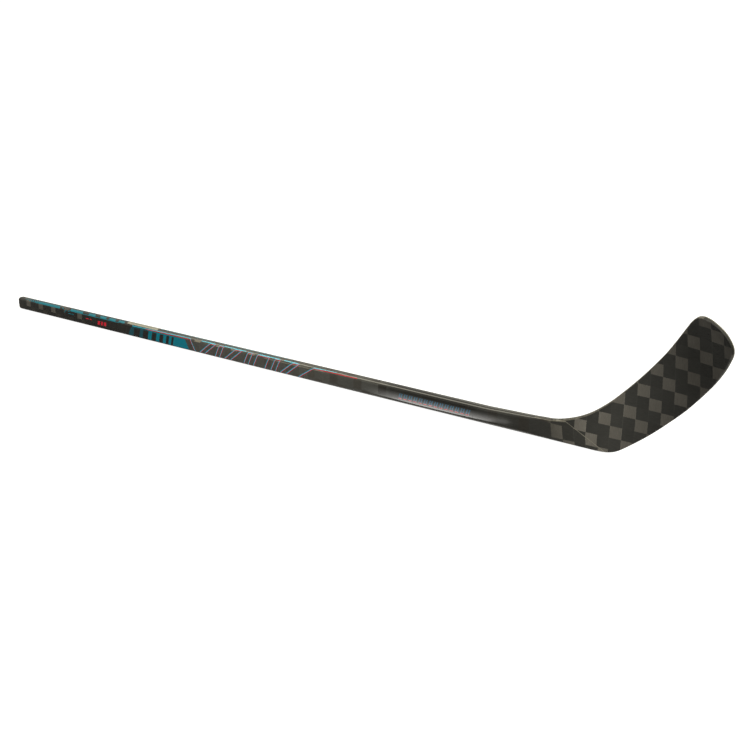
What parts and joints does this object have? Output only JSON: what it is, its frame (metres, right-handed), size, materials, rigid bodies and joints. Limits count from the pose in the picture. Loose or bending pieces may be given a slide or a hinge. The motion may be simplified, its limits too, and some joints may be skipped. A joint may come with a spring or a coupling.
{
  "type": "ice hockey stick",
  "caption": "Left-handed ice hockey stick with a hollow rounded-rectangular shaft, capped butt end, tapered hosel and a thin curved blade with a round toe.",
  "frame": {"origin": "centre of the stick's bounding box on X and Y, at the height of the shaft's lower narrow face", "axes": "+X along the shaft from the butt end to the blade; -Y is the forehand side the blade curves to; +Z across the shaft's tall side, towards the toe"},
  "size_m": [1.687, 0.066, 0.2316],
  "materials": {
    "shaft_carbon": "clear-coated woven carbon",
    "cap_plastic": "moulded, satin",
    "label_paper": "printed, satin",
    "hosel_carbon": "clear-coated woven carbon",
    "epoxy_adhesive": "cured, glossy",
    "hosel_foam": "cut foam",
    "heel_block": "moulded",
    "blade_front_skin_carbon": "clear-coated woven carbon",
    "blade_back_skin_carbon": "clear-coated woven carbon",
    "edge_laminate": "cut laminate, coated",
    "blade_foam": "cut foam",
    "rib_laminate": "cured laminate",
    "toe_laminate": "moulded, clear-coated"
  },
  "bodies": {
    "root": {"shaft_tube": "shaft_carbon", "butt_cap": "cap_plastic", "shaft_label": "label_paper", "hosel_shell": "hosel_carbon", "tenon_adhesive": "epoxy_adhesive", "hosel_foam_core": "hosel_foam", "heel_insert": "heel_block", "blade_front_skin": "blade_front_skin_carbon", "blade_back_skin": "blade_back_skin_carbon", "blade_edge_bottom": "edge_laminate", "blade_edge_top": "edge_laminate", "blade_core_lower": "blade_foam", "blade_rib": "rib_laminate", "blade_core_upper": "blade_foam", "blade_toe_edge": "toe_laminate"}
  },
  "joints": []
}
